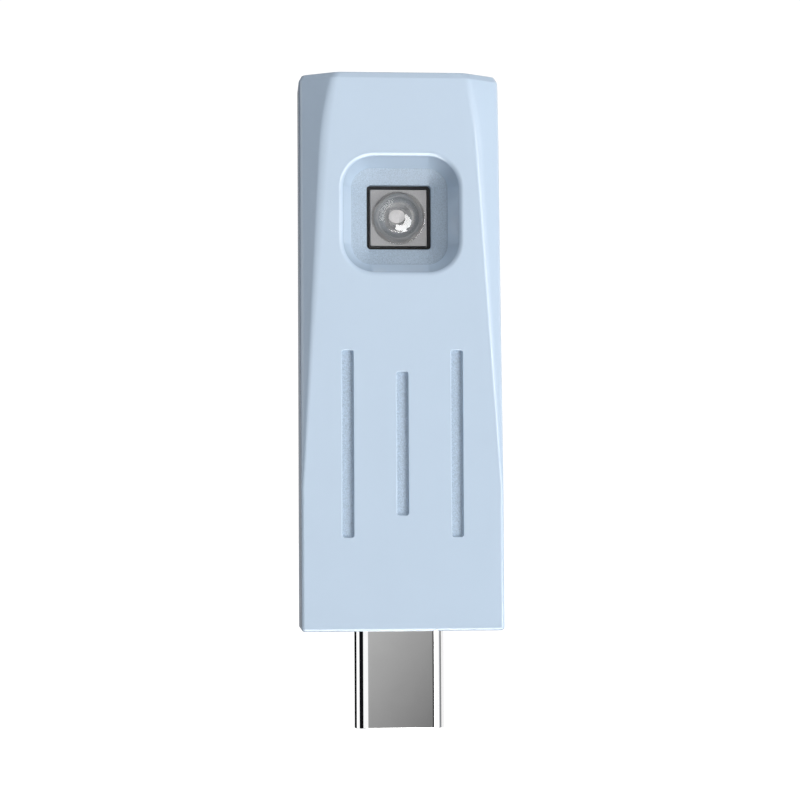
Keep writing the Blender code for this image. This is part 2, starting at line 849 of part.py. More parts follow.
def build_lamp():
    blue = make_material("pale_blue_plastic", (0.55, 0.68, 0.83), 0.28)
    black = make_material("black_moulding", (0.02, 0.02, 0.022), 0.5)
    ceramic = make_material("led_ceramic", (0.42, 0.40, 0.37), 0.45)
    clear = make_material("clear_silicone", (0.75, 0.75, 0.74), 0.08)
    emitter = make_material("emitter_chip", (0.75, 0.72, 0.62), 0.3)
    white_board = make_material("white_solder_mask", (0.85, 0.85, 0.83), 0.4)
    grey_pad = make_material("grey_thermal_pad", (0.35, 0.36, 0.38), 0.8)
    aluminium = make_material("aluminium_plate", (0.78, 0.79, 0.8), 0.35, 1.0)
    steel = make_material("spring_steel", (0.6, 0.6, 0.61), 0.28, 1.0)
    green = make_material("green_circuit_board", (0.02, 0.16, 0.07), 0.4)
    ferrite = make_material("grey_ferrite", (0.12, 0.12, 0.13), 0.6)
    tan = make_material("tan_ceramic", (0.55, 0.42, 0.28), 0.45)
    resistor = make_material("resistor_body", (0.05, 0.05, 0.055), 0.35)
    red_wire = make_material("red_wire", (0.6, 0.03, 0.03), 0.45)
    dark_wire = make_material("black_wire", (0.03, 0.03, 0.03), 0.45)
    nickel = make_material("bright_nickel", (0.72, 0.72, 0.72), 0.12, 1.0)
    gold = make_material("gold_plate", (0.85, 0.6, 0.25), 0.25, 1.0)
    make_housing(blue)
    make_back_cover(blue)
    stack_back = make_led(ceramic, clear, emitter, black, white_board, grey_pad, aluminium)
    make_screws(stack_back, steel)
    make_main_board(green)
    make_components(black, ferrite, tan, resistor)
    make_wire("lead_wire_plus", -2.3, red_wire)
    make_wire("lead_wire_minus", 2.3, dark_wire)
    make_plug(nickel, black, steel, gold)


build_lamp()
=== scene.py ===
"""Looks for a pocket LED lamp on a USB-C plug: a moulded housing, its back cover, the LED in its
well, and the plug. Sizes are millimetres, and a finished piece is scaled to metres once."""

import math

import bmesh
import bpy
from mathutils import Matrix, Vector


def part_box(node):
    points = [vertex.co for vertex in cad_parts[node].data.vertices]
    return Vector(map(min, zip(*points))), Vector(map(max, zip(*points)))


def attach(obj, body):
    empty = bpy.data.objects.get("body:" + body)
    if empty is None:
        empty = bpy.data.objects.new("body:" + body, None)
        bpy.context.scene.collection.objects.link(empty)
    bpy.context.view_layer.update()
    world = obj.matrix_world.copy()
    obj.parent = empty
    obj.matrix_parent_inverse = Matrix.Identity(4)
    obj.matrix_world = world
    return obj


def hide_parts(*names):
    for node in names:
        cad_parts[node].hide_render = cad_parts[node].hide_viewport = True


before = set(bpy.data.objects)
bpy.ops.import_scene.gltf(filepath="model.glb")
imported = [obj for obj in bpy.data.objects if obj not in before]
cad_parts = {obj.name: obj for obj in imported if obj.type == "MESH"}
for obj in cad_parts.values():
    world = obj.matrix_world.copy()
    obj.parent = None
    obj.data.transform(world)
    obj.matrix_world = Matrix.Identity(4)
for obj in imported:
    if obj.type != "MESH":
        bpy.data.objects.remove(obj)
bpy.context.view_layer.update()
MM = 0.001
LAMP_BODY = "lamp_body"


def node_box(node):
    """A CAD node's lowest and highest corner in millimetres."""
    low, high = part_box(node)
    return low / MM, high / MM


# Housing, from its CAD box and the wall and edge sizes it is moulded with
HOUSING_LOW, HOUSING_HIGH = node_box("housing")
HALF_WIDTH = HOUSING_HIGH.x
BODY_HEIGHT = HOUSING_HIGH.z
FRONT = HOUSING_LOW.y
BACK = HOUSING_HIGH.y
WALL = 1.3
ROOM_LOW = 1.6
ROOM_TOP_WALL = 1.4
ROOM_CHAMFER = (5.2, 1.9)  # where the front corners are taken off: across, and behind the wall
SIDE_DRAFT = 0.18
SHOULDER_START = 13.0
FOOT_DEPTHS = (0.1, 0.25)  # how far the shoulder's foot lies behind the front, low and high
WING_SLOPES = (0.9, 0.72)  # how far the wing falls back for each millimetre outwards
WING_ROUND = 0.42
SIDE_ROUNDS = (0.12, 0.42)
FOOT_CUT = 0.08
FLARE_START = 43.5
BROW = (8.87, 0.0751, 0.42)  # half width at the start, taper, flare at the upper end
FOOT = (9.12, 0.0531, 0.72)
TOP_EDGE = (
    (0.6, 0.0),
    (0.575, 0.004),
    (0.55, 0.018),
    (0.09, 0.27),
    (0.03, 0.33),
    (0.0, 0.42),
)  # below the top, in from the walls
BOTTOM_ROUND = 0.3
BACK_ROUND = 0.5

# Light window
PACKAGE_LOW, PACKAGE_HIGH = node_box("led_package")
WINDOW_HEIGHT = (PACKAGE_LOW.z + PACKAGE_HIGH.z) / 2
LED_HALF = PACKAGE_HIGH.x
LED_FRONT = PACKAGE_LOW.y
LED_BACK = PACKAGE_HIGH.y
WELL_HALF = 5.74
WELL_CORNER = 3.3
WELL_EDGE = 0.5
WELL_FLOOR_HALF = 4.42
WELL_FLOOR_CORNER = 1.9
WELL_FLOOR_DEPTH = 2.05
WELL_RIM_DEPTH = 2.7
HOLE_HALF = 2.96
HOLE_CORNER = 0.35
HOLE_EDGE = 0.08
BLOCK_BACK = -0.9
WELL_BLOCK = ((6.75, 3.0, FRONT + 0.6), (6.3, 2.6, BLOCK_BACK))  # half width, corner, depth
GASKET_LOW, GASKET_HIGH = node_box("light_gasket")
SCREW_LOW, SCREW_HIGH = node_box("board_screw_2")
SCREW_HOLE = 0.85
SCREW_DEPTH = 2.5

# Grip grooves
GROOVE_PITCH = 4.97
GROOVE_HALF = 0.6
GROOVE_DEPTH = 0.45
GROOVE_EDGE = 0.07
GROOVE_CORNER = 0.3
GROOVE_LENGTHS = (17.1, 13.15, 17.1)
GROOVE_MIDDLE = 16.95

# Back cover
COVER_LOW, COVER_HIGH = node_box("back_cover")
COVER_THICKNESS = 1.3
COVER_CORNER = 0.95
COVER_EDGE = 0.1
FIT = 0.05
LIP = 0.9
LIP_FRONT = 1.2

# Plug
SHELL_LOW, SHELL_HIGH = node_box("plug_shell")
SHELL_WALL = 0.2
SHELL_EDGE = 0.07


# ---------------------------------------------------------------- shapes


def ring_loop(shape, points):
    corners = [shape.verts.new(point) for point in points]
    return [shape.edges.new(pair) for pair in zip(corners, corners[1:] + corners[:1])]


def skin_over(rings):
    """A closed form bridged over rings of points, with its two ends filled."""
    shape = bmesh.new()
    loops = [ring_loop(shape, ring) for ring in rings]
    for lower, upper in zip(loops, loops[1:]):
        bmesh.ops.bridge_loops(shape, edges=lower + upper)
    bmesh.ops.edgeloop_fill(shape, edges=loops[0])
    bmesh.ops.edgeloop_fill(shape, edges=loops[-1])
    bmesh.ops.recalc_face_normals(shape, faces=shape.faces)
    return shape


def block(low, high):
    """A plain box from its two corners."""
    shape = bmesh.new()
    middle = (Vector(low) + Vector(high)) / 2
    size = Vector(high) - Vector(low)
    place = Matrix.Translation(middle) @ Matrix.Diagonal((*size, 1.0))
    bmesh.ops.create_cube(shape, size=1.0, matrix=place)
    return shape


def edges_along(shape, axis):
    across = [number for number in range(3) if number != axis]
    return [
        edge
        for edge in shape.edges
        if all(abs((edge.verts[0].co - edge.verts[1].co)[number]) < 1e-5 for number in across)
    ]


def round_edges(shape, edges, radius, steps):
    bmesh.ops.bevel(
        shape,
        geom=edges,
        offset=radius,
        affect="EDGES",
        segments=steps,
        profile=0.5,
        material=-1,
        clamp_overlap=True,
    )


def turned(profile, steps=96):
    """A closed round form spun about Z from its half profile, whose ends lie on the axis."""
    shape = bmesh.new()
    points = [shape.verts.new((radius, 0.0, height)) for radius, height in profile]
    line = [shape.edges.new(pair) for pair in zip(points, points[1:])]
    bmesh.ops.spin(
        shape,
        geom=points + line,
        cent=(0.0, 0.0, 0.0),
        axis=(0.0, 0.0, 1.0),
        angle=2 * math.pi,
        steps=steps,
        use_merge=True,
    )
    bmesh.ops.remove_doubles(shape, verts=shape.verts, dist=1e-5)
    bmesh.ops.recalc_face_normals(shape, faces=shape.faces)
    return shape


def face_forward(shape, place):
    """Lay a form that was turned about Z along -Y, with its foot at place."""
    turn = Matrix.Translation(Vector(place)) @ Matrix.Rotation(math.pi / 2, 4, "X")
    bmesh.ops.transform(shape, matrix=turn, verts=shape.verts)
    return shape


def piece_from(name, shape, materials=()):
    """Hand a millimetre form over as an object at the origin, in metres."""
    bmesh.ops.scale(shape, vec=(MM, MM, MM), verts=shape.verts)
    mesh = bpy.data.meshes.new(name)
    shape.to_mesh(mesh)
    shape.free()
    item = bpy.data.objects.new(name, mesh)
    bpy.context.scene.collection.objects.link(item)
    for material in materials:
        mesh.materials.append(material)
    return item


def form_from(item):
    """Take a piece apart into a millimetre form again, to cut with."""
    shape = bmesh.new()
    shape.from_mesh(item.data)
    bmesh.ops.scale(shape, vec=(1 / MM, 1 / MM, 1 / MM), verts=shape.verts)
    mesh = item.data
    bpy.data.objects.remove(item)
    bpy.data.meshes.remove(mesh)
    return shape


def carve(target, shape, operation="DIFFERENCE"):
    """Cut a form out of a piece, or add it, and keep the result as the piece's own mesh."""
    tool = piece_from("tool", shape)
    step = target.modifiers.new("carve", "BOOLEAN")
    step.operation = operation
    step.object = tool
    bpy.context.view_layer.update()
    settled = target.evaluated_get(bpy.context.evaluated_depsgraph_get())
    carved = bpy.data.meshes.new_from_object(settled)
    before = target.data
    target.modifiers.clear()
    target.data = carved
    bpy.data.meshes.remove(before)
    tool_mesh = tool.data
    bpy.data.objects.remove(tool)
    bpy.data.meshes.remove(tool_mesh)


def shade(item, angle=32.0, weighted=True):
    item.data.shade_smooth()
    item.data.set_sharp_from_angle(angle=math.radians(angle))
    if weighted:
        step = item.modifiers.new("even_shading", "WEIGHTED_NORMAL")
        step.keep_sharp = True
        step.weight = 50


def stand_for(item, node):
    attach(item, LAMP_BODY)
    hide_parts(node)


# ---------------------------------------------------------------- housing form


def corner_arc(before, corner, after, cut_before, cut_after, steps):
    """Points of a round corner that starts and ends at the given distances from it."""
    start = corner + (before - corner).normalized() * cut_before
    end = corner + (after - corner).normalized() * cut_after
    turn = (corner - before).angle(after - corner)
    weight = math.cos(turn / 2)
    points = []
    for step in range(steps + 1):
        s = step / steps
        total = (1 - s) ** 2 + 2 * s * (1 - s) * weight + s**2
        point = start * (1 - s) ** 2 + corner * (2 * s * (1 - s) * weight) + end * s**2
        points.append(point / total)
    return points


def edge_half_width(edge, height):
    start, taper, flare = edge
    run = max(0.0, height - SHOULDER_START)
    flared = max(0.0, height - FLARE_START) / (BODY_HEIGHT - FLARE_START)
    return start - taper * run - flare * flared**2


def between(pair, share):
    """A value part of the way from the first of a pair to the second."""
    return pair[0] + (pair[1] - pair[0]) * share


def housing_half(height):
    """The right half of the outline at a height: front, brow, shoulder foot, side and back."""
    grown = max(0.0, height - SHOULDER_START) / (BODY_HEIGHT - SHOULDER_START)
    foot_depth = between(FOOT_DEPTHS, grown)
    brow_x = edge_half_width(BROW, height)
    foot_x = edge_half_width(FOOT, height)
    outer_depth = foot_depth + between(WING_SLOPES, grown**2) * (HALF_WIDTH - foot_x)
    front = Vector((0.0, FRONT))
    bend = Vector(((brow_x + foot_x) / 2, FRONT))
    foot = Vector((foot_x, FRONT + foot_depth))
    outer = Vector((HALF_WIDTH, FRONT + outer_depth))
    rear = Vector((HALF_WIDTH - SIDE_DRAFT, BACK))
    middle_back = Vector((0.0, BACK))
    wing = (outer - foot).length
    foot_cut = min(FOOT_CUT, 0.3 * wing)
    brow_cut = (foot_x - brow_x) / 2
    points = corner_arc(front, bend, foot, brow_cut, (foot - bend).length - foot_cut, 12)
    points += corner_arc(bend, foot, outer, foot_cut * 0.8, foot_cut, 4)
    side_cut = between(SIDE_ROUNDS, grown)
    points += corner_arc(foot, outer, rear, min(WING_ROUND, 0.55 * wing), side_cut, 12)
    points += corner_arc(outer, rear, middle_back, BACK_ROUND, BACK_ROUND, 8)
    return points


def housing_ring(height, inset=0.0):
    right = housing_half(height)
    left = [Vector((-point.x, point.y)) for point in reversed(right)]
    across = 1 - inset / HALF_WIDTH
    deep = 1 - inset / ((BACK - FRONT) / 2)
    middle = (FRONT + BACK) / 2
    return [
        Vector((point.x * across, middle + (point.y - middle) * deep, height))
        for point in right + left
    ]


def housing_form():
    rings = []
    end_steps = 7
    for step in range(end_steps + 1):
        angle = math.radians(90) * step / end_steps
        height = BOTTOM_ROUND * (1 - math.cos(angle))
        rings.append(housing_ring(height, BOTTOM_ROUND * (1 - math.sin(angle))))
    lower = [4.0, 8.5, SHOULDER_START]
    rise = 12
    middle = [
        SHOULDER_START + (FLARE_START - SHOULDER_START) * step / rise for step in range(1, rise + 1)
    ]
    top_start = BODY_HEIGHT - TOP_EDGE[0][0]
    flare_steps = 12
    upper = [
        FLARE_START + (top_start - FLARE_START) * step / flare_steps for step in range(1, flare_steps)
    ]
    rings += [housing_ring(height) for height in lower + middle + upper]
    rings += [housing_ring(BODY_HEIGHT - below, inset) for below, inset in TOP_EDGE]
    return skin_over(rings)


def window_ring(centre, half, corner, depth, steps=10):
    """A rounded rectangle on a plane that faces the front, at a depth along Y."""
    points = []
    for quadrant in range(4):
        for step in range(steps + 1):
            angle = math.radians(90) * (quadrant + step / steps)
            sign_x = 1 if quadrant in (0, 3) else -1
            sign_z = 1 if quadrant in (0, 1) else -1
            x = centre[0] + sign_x * (half[0] - corner) + corner * math.cos(angle)
            z = centre[1] + sign_z * (half[1] - corner) + corner * math.sin(angle)
            points.append(Vector((x, depth, z)))
    return points


def rounded_lip(radius, steps):
    """Steps of a quarter round at a rim: how far outside the wall, and how deep."""
    for step in range(steps + 1):
        angle = math.radians(90) * step / steps
        yield radius * (1 - math.sin(angle)), radius * (1 - math.cos(angle))


def well_form():
    """What is cut away for the light window: a rounded rim, steep walls, a shallow floor."""
    centre = (0.0, WINDOW_HEIGHT)
    rings = [window_ring(centre, (WELL_HALF, WELL_HALF), WELL_CORNER, FRONT - 1.0, 16)]
    wall = WELL_HALF - WELL_EDGE
    wall_corner = WELL_CORNER - WELL_EDGE
    for outside, depth in rounded_lip(WELL_EDGE, 8):
        half = wall + outside
        rings.append(window_ring(centre, (half, half), wall_corner + outside, FRONT + depth, 16))
    ease = 0.3
    stages = (
        (WELL_FLOOR_HALF + 0.06, WELL_FLOOR_CORNER + 0.06, WELL_FLOOR_DEPTH - ease),
        (WELL_FLOOR_HALF, WELL_FLOOR_CORNER, WELL_FLOOR_DEPTH - ease * 0.35),
        (WELL_FLOOR_HALF - 0.12, WELL_FLOOR_CORNER - 0.1, WELL_FLOOR_DEPTH - 0.02),
        (WELL_FLOOR_HALF - 0.32, WELL_FLOOR_CORNER - 0.25, WELL_FLOOR_DEPTH + 0.06),
        (HOLE_HALF + HOLE_EDGE, HOLE_CORNER + HOLE_EDGE, WELL_RIM_DEPTH - 0.02),
        (HOLE_HALF + HOLE_EDGE * 0.3, HOLE_CORNER + HOLE_EDGE * 0.3, WELL_RIM_DEPTH + 0.02),
        (HOLE_HALF, HOLE_CORNER, WELL_RIM_DEPTH + HOLE_EDGE),
    )
    for half, corner, depth in stages:
        rings.append(window_ring(centre, (half, half), corner, FRONT + depth, 16))
    rings.append(window_ring(centre, (HOLE_HALF, HOLE_HALF), HOLE_CORNER, BLOCK_BACK + 0.5, 16))
    return skin_over(rings)


def groove_form(number, length):
    centre = ((number - 1) * GROOVE_PITCH, GROOVE_MIDDLE)
    half = Vector((GROOVE_HALF - GROOVE_EDGE, length / 2 - GROOVE_EDGE))
    corner = GROOVE_CORNER - GROOVE_EDGE
    rim = half + Vector((GROOVE_EDGE, GROOVE_EDGE))
    rings = [window_ring(centre, rim, GROOVE_CORNER, FRONT - 1.0, 6)]
    for outside, depth in rounded_lip(GROOVE_EDGE, 4):
        wide = half + Vector((outside, outside))
        rings.append(window_ring(centre, wide, corner + outside, FRONT + depth, 6))
    ease = 0.12
    rings.append(window_ring(centre, half, corner, FRONT + GROOVE_DEPTH - ease, 6))
    inner = half - Vector((0.035, 0.035))
    rings.append(window_ring(centre, inner, corner - 0.035, FRONT + GROOVE_DEPTH - 0.035, 6))
    inner = half - Vector((0.12, 0.12))
    rings.append(window_ring(centre, inner, corner - 0.09, FRONT + GROOVE_DEPTH, 6))
    return skin_over(rings)


def oval_ring(width, thickness, height, steps=20):
    """A flat oval outline with half-round ends, level at a height."""
    radius = thickness / 2
    centre = width / 2 - radius
    points = []
    for side in (1, -1):
        for step in range(steps + 1):
            angle = math.radians(-90 + 180 * step / steps)
            x = side * (centre + radius * math.cos(angle))
            points.append(Vector((x, side * radius * math.sin(angle), height)))
    return points


def cavity_form():
    """The room inside: a box with its front corners taken off, kept clear of the well."""
    side = HALF_WIDTH - WALL
    front = FRONT + WALL
    back = BACK - COVER_THICKNESS + 0.4
    chamfer_x, chamfer_depth = ROOM_CHAMFER
    half = [(chamfer_x, front), (side, front + chamfer_depth), (side, back)]
    outline = half + [(-x, y) for x, y in reversed(half)]
    ends = (ROOM_LOW, BODY_HEIGHT - ROOM_TOP_WALL)
    return skin_over([[Vector((x, y, height)) for x, y in outline] for height in ends])


def make_housing(finishes):
    """The housing, in a glossy finish and two textured finishes whose darker colour is painted shade
    on the well floor and the groove floors.
    """
    housing = piece_from("moulded_housing", housing_form(), finishes)
    room = piece_from("room", cavity_form())
    centre = (0.0, WINDOW_HEIGHT)
    block_rings = [
        window_ring(centre, (half, half), corner, depth) for half, corner, depth in WELL_BLOCK
    ]
    carve(room, skin_over(block_rings))
    carve(housing, form_from(room))
    pocket = block(
        (COVER_LOW.x - FIT, BACK - COVER_THICKNESS - FIT, COVER_LOW.z - FIT),
        (COVER_HIGH.x + FIT, BACK + 1.0, COVER_HIGH.z + FIT),
    )
    round_edges(pocket, edges_along(pocket, 1), COVER_CORNER + FIT, 8)
    carve(housing, pocket)
    carve(housing, well_form())
    for number, length in enumerate(GROOVE_LENGTHS):
        carve(housing, groove_form(number, length))
    hole_rings = [
        oval_ring(SHELL_HIGH.x * 2 + 2 * FIT, SHELL_HIGH.y * 2 + 2 * FIT, height)
        for height in (-1.0, 2.5)
    ]
    carve(housing, skin_over(hole_rings))
    gasket_room = block(
        (GASKET_LOW.x - FIT, GASKET_LOW.y - FIT, GASKET_LOW.z - FIT),
        (GASKET_HIGH.x + FIT, GASKET_HIGH.y, GASKET_HIGH.z + FIT),
    )
    carve(housing, gasket_room)
    for sign in (-1, 1):
        carve(housing, screw_hole(sign))
    paint_floor_shade(housing)
    shade(housing)
    stand_for(housing, "housing")


def screw_hole(sign):
    """The room for one of the two screws, which sit opposite each other round the window."""
    across = (SCREW_LOW.x + SCREW_HIGH.x) / 2
    upward = (SCREW_LOW.z + SCREW_HIGH.z) / 2 - WINDOW_HEIGHT
    outline = [(0.0, SCREW_DEPTH), (SCREW_HOLE, SCREW_DEPTH), (SCREW_HOLE, 0.0), (0.0, 0.0)]
    hole = turned(outline, 32)
    turn = Matrix.Rotation(-math.pi / 2, 4, "X")
    start = (sign * across, SCREW_LOW.y - FIT, WINDOW_HEIGHT + sign * upward)
    bmesh.ops.transform(hole, matrix=Matrix.Translation(start) @ turn, verts=hole.verts)
    return hole


def paint_floor_shade(housing):
    """Give the well's floor and the grooves' floors their own textured finishes, darkened as painted
    shade.
    """
    for face in housing.data.polygons:
        middle = face.center / MM
        depth = middle.y - FRONT
        faces_front = face.normal.y < -0.75
        in_well = abs(middle.x) < WELL_HALF and abs(middle.z - WINDOW_HEIGHT) < WELL_HALF
        on_well_floor = in_well and WELL_FLOOR_DEPTH - 0.1 < depth < WELL_RIM_DEPTH + 0.1
        on_groove_floor = not in_well and GROOVE_DEPTH - 0.1 < depth < GROOVE_DEPTH + 0.05
        on_groove_floor = on_groove_floor and abs(middle.x) < GROOVE_PITCH + GROOVE_HALF
        # painted shade: floor faces in the well and the grooves take the darker finishes
        if faces_front and on_well_floor:
            face.material_index = 1
        elif faces_front and on_groove_floor:
            face.material_index = 2
        else:
            face.material_index = 0


def make_back_cover(gloss):
    plate = block(
        (COVER_LOW.x, BACK - COVER_THICKNESS, COVER_LOW.z),
        (COVER_HIGH.x, BACK, COVER_HIGH.z),
    )
    round_edges(plate, edges_along(plate, 1), COVER_CORNER, 8)
    rim = [
        edge
        for edge in plate.edges
        if all(abs(corner.co.y - BACK) < 1e-5 for corner in edge.verts)
    ]
    round_edges(plate, rim, COVER_EDGE, 4)
    cover = piece_from("closing_cover", plate, (gloss,))
    lip_side = HALF_WIDTH - WALL - FIT
    root = BACK - COVER_THICKNESS + 0.3
    lip_low = SHELL_HIGH.z + 0.4
    lip_high = BODY_HEIGHT - 1.5
    lip = piece_from("lip", block((-lip_side, LIP_FRONT, lip_low), (lip_side, root, lip_high)))
    carve(
        lip,
        block(
            (-lip_side + LIP, LIP_FRONT - 1.0, lip_low + LIP),
            (lip_side - LIP, root + 1.0, lip_high - LIP),
        ),
    )
    carve(cover, form_from(lip), "UNION")
    shade(cover)
    stand_for(cover, "back_cover")


# ---------------------------------------------------------------- LED forms

SEAT_RADIUS = 2.46
SEAT_DEPTH = 0.05
PIT_RADIUS = 1.6
PIT_DEPTH = 0.62
BOWL = ((0.98, 0.04), (0.92, 0.12), (0.78, 0.34), (0.62, 0.5), (0.5, 0.56), (0.0, 0.56))
DIE_RADIUS = 0.5
DIE_STRETCH = (1.14, 0.9)
DIE_OFFSET = (-0.1, 0.14)
DOME_RADIUS = 2.38
DOME_HEIGHT = 1.72
DOME_FOOT = ((-0.008, 0.035), (0.005, 0.018), (0.028, 0.006), (0.07, 0.0), (0.07, -0.045))
CUP_RINGS_AND_PAINTED_GLOW = (
    (0.0, 0.3),
    (0.215, 0.3),
    (0.24, 0.2),
    (0.27, 0.31),
    (0.31, 0.25),
    (0.37, 0.33),
    (0.46, 0.24),
    (0.56, 0.16),
    (0.66, 0.18),
    (0.74, 0.08),
    (0.83, 0.11),
    (0.9, 0.04),
    (1.0, 0.06),
)  # tones over the cup, against the share of the seat's radius: partly the cup's own rings, partly painted light, lighter near the emitter and darker towards the rim


def make_led(ceramic, cup_with_painted_glow, glow_layer, clear):
    half = LED_HALF
    body = block((-half, LED_FRONT, WINDOW_HEIGHT - half), (half, LED_BACK, WINDOW_HEIGHT + half))
    round_edges(body, edges_along(body, 1), 0.12, 4)
    rim = [e for e in body.edges if all(abs(v.co.y - LED_FRONT) < 1e-5 for v in e.verts)]
    round_edges(body, rim, 0.04, 3)
    package = piece_from("led_ceramic_body", body, (ceramic,))
    window = (0.0, LED_FRONT, WINDOW_HEIGHT)
    for radius, depth in ((SEAT_RADIUS, SEAT_DEPTH), (PIT_RADIUS, PIT_DEPTH)):
        hollow = turned([(0.0, 1.0), (radius, 1.0), (radius, -depth), (0.0, -depth)])
        carve(package, face_forward(hollow, window))
    shade(package)
    stand_for(package, "led_package")
    bowl_profile = [(0.0, -0.61), (1.55, -0.61), (1.58, -0.3), (1.58, -0.07), (2.44, -0.065)]
    bowl_profile += [(2.44, -0.055), (1.5, -0.05), (1.05, -0.05)]
    bowl_profile += [(radius, -depth) for radius, depth in BOWL]
    dish = turned(bowl_profile)
    # painted light: the reflector takes the cup finish whose tone is painted lighter near the emitter
    reflector = piece_from("led_reflector", face_forward(dish, window), (cup_with_painted_glow,))
    shade(reflector, 40, weighted=False)
    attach(reflector, LAMP_BODY)
    die_profile = [(0.0, -0.44), (DIE_RADIUS - 0.06, -0.44), (DIE_RADIUS, -0.48)]
    die_profile += [(DIE_RADIUS, -0.55), (0.0, -0.55)]
    die_form = turned(die_profile)
    bmesh.ops.scale(die_form, vec=(*DIE_STRETCH, 1.0), verts=die_form.verts)
    die_place = (DIE_OFFSET[0], LED_FRONT, WINDOW_HEIGHT + DIE_OFFSET[1])
    die = piece_from("emitter_disc", face_forward(die_form, die_place), (glow_layer,))
    shade(die, 40, weighted=False)
    stand_for(die, "led_chip")
    sag = (DOME_RADIUS**2 + DOME_HEIGHT**2) / (2 * DOME_HEIGHT)
    sweep = math.asin(DOME_RADIUS / sag)
    dome_steps = 28
    profile = []
    for step in range(dome_steps):
        angle = sweep * step / dome_steps
        profile.append((sag * math.sin(angle), DOME_HEIGHT - sag * (1 - math.cos(angle))))
    profile += [(DOME_RADIUS + outward, rise) for outward, rise in DOME_FOOT]
    profile += [(1.1, -0.045)]
    profile += [(radius + 0.02, -depth - 0.02) for radius, depth in BOWL[:-1]]
    profile += [(0.0, -BOWL[-1][1] - 0.02)]
    dome = face_forward(turned(profile), window)
    lens = piece_from("clear_dome", dome, clear)
    for face in lens.data.polygons:
        face.material_index = 0 if face.center.y < LED_FRONT * MM and face.normal.y < 0.0 else 1
    shade(lens, 40, weighted=False)
    stand_for(lens, "led_lens")


def make_plug_shell(nickel):
    """The drawn steel tube of the plug, its mouth edges rolled slightly."""
    width = SHELL_HIGH.x - SHELL_LOW.x
    thickness = SHELL_HIGH.y - SHELL_LOW.y
    tip = SHELL_LOW.z
    rings = []
    for inset, rise in ((SHELL_EDGE, 0.0), (SHELL_EDGE * 0.3, SHELL_EDGE * 0.3), (0.0, SHELL_EDGE)):
        rings.append(oval_ring(width - 2 * inset, thickness - 2 * inset, tip + rise))
    rings.append(oval_ring(width, thickness, SHELL_HIGH.z))
    shell = piece_from("drawn_shell", skin_over(rings), (nickel,))
    bore = (width - 2 * SHELL_WALL, thickness - 2 * SHELL_WALL)
    flare = 0.06
    bore_rings = [
        oval_ring(bore[0] + 2 * flare, bore[1] + 2 * flare, tip - 1.0),
        oval_ring(bore[0] + 2 * flare, bore[1] + 2 * flare, tip),
        oval_ring(bore[0], bore[1], tip + 0.1),
        oval_ring(bore[0], bore[1], SHELL_HIGH.z + 1.0),
    ]
    carve(shell, skin_over(bore_rings))
    shade(shell)
    stand_for(shell, "plug_shell")


# ---------------------------------------------------------------- finishes


class Finish:
    """A Principled surface whose tone, gloss and relief follow patterns on Object coordinates."""

    def __init__(self, name, colour, roughness, metallic=0.0):
        self.material = bpy.data.materials.new(name)
        self.material.use_nodes = True
        self.tree = self.material.node_tree
        self.shader = self.tree.nodes["Principled BSDF"]
        self.place = self.tree.nodes.new("ShaderNodeTexCoord").outputs["Object"]
        self.shader.inputs["Base Color"].default_value = (*colour, 1.0)
        self.shader.inputs["Roughness"].default_value = roughness
        self.shader.inputs["Metallic"].default_value = metallic

    def set(self, **values):
        for socket, value in values.items():
            self.shader.inputs[socket.replace("_", " ")].default_value = value
        return self

    def noise(self, grain, detail=2.0, stretch=(1.0, 1.0, 1.0)):
        """A soft pattern whose features are about grain millimetres across."""
        turn = self.tree.nodes.new("ShaderNodeMapping")
        turn.inputs["Scale"].default_value = stretch
        self.tree.links.new(self.place, turn.inputs["Vector"])
        node = self.tree.nodes.new("ShaderNodeTexNoise")
        node.inputs["Scale"].default_value = 1.0 / (grain * MM)
        node.inputs["Detail"].default_value = detail
        self.tree.links.new(turn.outputs["Vector"], node.inputs["Vector"])
        return node.outputs["Fac"]

    def spread(self, pattern, low, high, span=(0.3, 0.7)):
        node = self.tree.nodes.new("ShaderNodeMapRange")
        node.inputs["From Min"].default_value = span[0]
        node.inputs["From Max"].default_value = span[1]
        node.inputs["To Min"].default_value = low
        node.inputs["To Max"].default_value = high
        self.tree.links.new(pattern, node.inputs["Value"])
        return node.outputs["Result"]

    def tone(self, pattern, dark, light, span=(0.3, 0.7)):
        ramp = self.tree.nodes.new("ShaderNodeValToRGB")
        ramp.color_ramp.elements[0].position = span[0]
        ramp.color_ramp.elements[1].position = span[1]
        ramp.color_ramp.elements[0].color = (*dark, 1.0)
        ramp.color_ramp.elements[1].color = (*light, 1.0)
        self.tree.links.new(pattern, ramp.inputs["Fac"])
        self.tree.links.new(ramp.outputs["Color"], self.shader.inputs["Base Color"])
        return self

    def gloss(self, pattern, low, high, span=(0.3, 0.7)):
        self.tree.links.new(self.spread(pattern, low, high, span), self.shader.inputs["Roughness"])
        return self

    def relief(self, pattern, depth, strength=1.0):
        """Raise the surface by a pattern, depth in millimetres."""
        bump = self.tree.nodes.new("ShaderNodeBump")
        bump.inputs["Distance"].default_value = depth * MM
        bump.inputs["Strength"].default_value = strength
        self.tree.links.new(pattern, bump.inputs["Height"])
        self.tree.links.new(bump.outputs["Normal"], self.shader.inputs["Normal"])
        return self


def shades(colour, spread):
    """A darker and a lighter tone round a colour."""
    return [tuple(min(1.0, part * factor) for part in colour) for factor in (1 - spread, 1 + spread)]


BLUE = (0.526, 0.638, 0.758)


def glossy_blue():
    finish = Finish("glossy_blue_plastic", BLUE, 0.2)
    finish.tone(finish.noise(6.0, 3.0), *shades(BLUE, 0.008))
    finish.gloss(finish.noise(2.2, 3.0), 0.16, 0.22)
    finish.relief(finish.noise(1.4, 1.0), 0.0006)
    finish.set(IOR=1.5, Coat_Weight=0.25, Coat_Roughness=0.06)
    return finish.material


